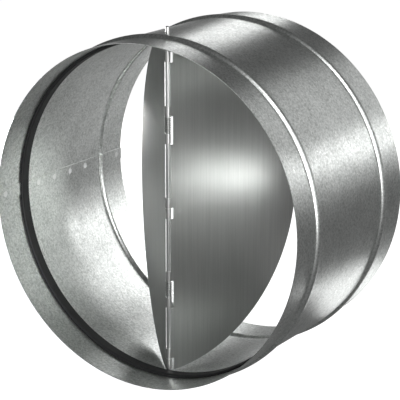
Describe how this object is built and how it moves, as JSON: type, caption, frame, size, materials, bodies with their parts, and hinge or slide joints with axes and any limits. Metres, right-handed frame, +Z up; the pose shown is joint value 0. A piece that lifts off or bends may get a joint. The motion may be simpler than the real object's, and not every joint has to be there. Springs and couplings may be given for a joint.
{
  "type": "duct backdraft damper",
  "caption": "Round duct sleeve with rolled beads and a rubber seat, and sprung half-round flaps that hinge on a central pin and fold downstream, so that air can't flow back.",
  "frame": {"origin": "centre of the sleeve's inlet end plane", "axes": "+Y along the duct axis, the way the air flows; +Z up, along the hinge pin; +X to the right seen from the inlet"},
  "size_m": [0.2534, 0.16, 0.263],
  "materials": {
    "galvanised_sheet": "zinc coated sheet, fine grain, half matt",
    "seal_rubber": "matt black",
    "bright_steel": "bright drawn",
    "flap_aluminium": "mill finish, fine vertical streaks",
    "spring_steel": "bright wire"
  },
  "bodies": {
    "casing": {"casing": "galvanised_sheet", "seal_ring": "seal_rubber", "hinge_pin": "bright_steel", "upper_spring": "spring_steel", "lower_spring": "spring_steel"},
    "right_flap": {"right_flap": "flap_aluminium"},
    "left_flap": {"left_flap": "flap_aluminium"}
  },
  "joints": [
    {"name": "right_flap_hinge", "type": "hinge", "parent": "casing", "child": "right_flap", "pos_m": [0, 0.03615, 0], "axis": [0, 0, 1], "range_deg": [-71.5, 13.5], "stiffness_Nm_per_rad": 0.02, "springref_deg": -103.13, "deforming": ["upper_spring", "lower_spring"]},
    {"name": "left_flap_hinge", "type": "hinge", "parent": "casing", "child": "left_flap", "pos_m": [0, 0.03615, 0], "axis": [0, 0, -1], "range_deg": [-49, 36], "stiffness_Nm_per_rad": 0.02, "springref_deg": -80.21, "deforming": ["upper_spring", "lower_spring"]}
  ]
}
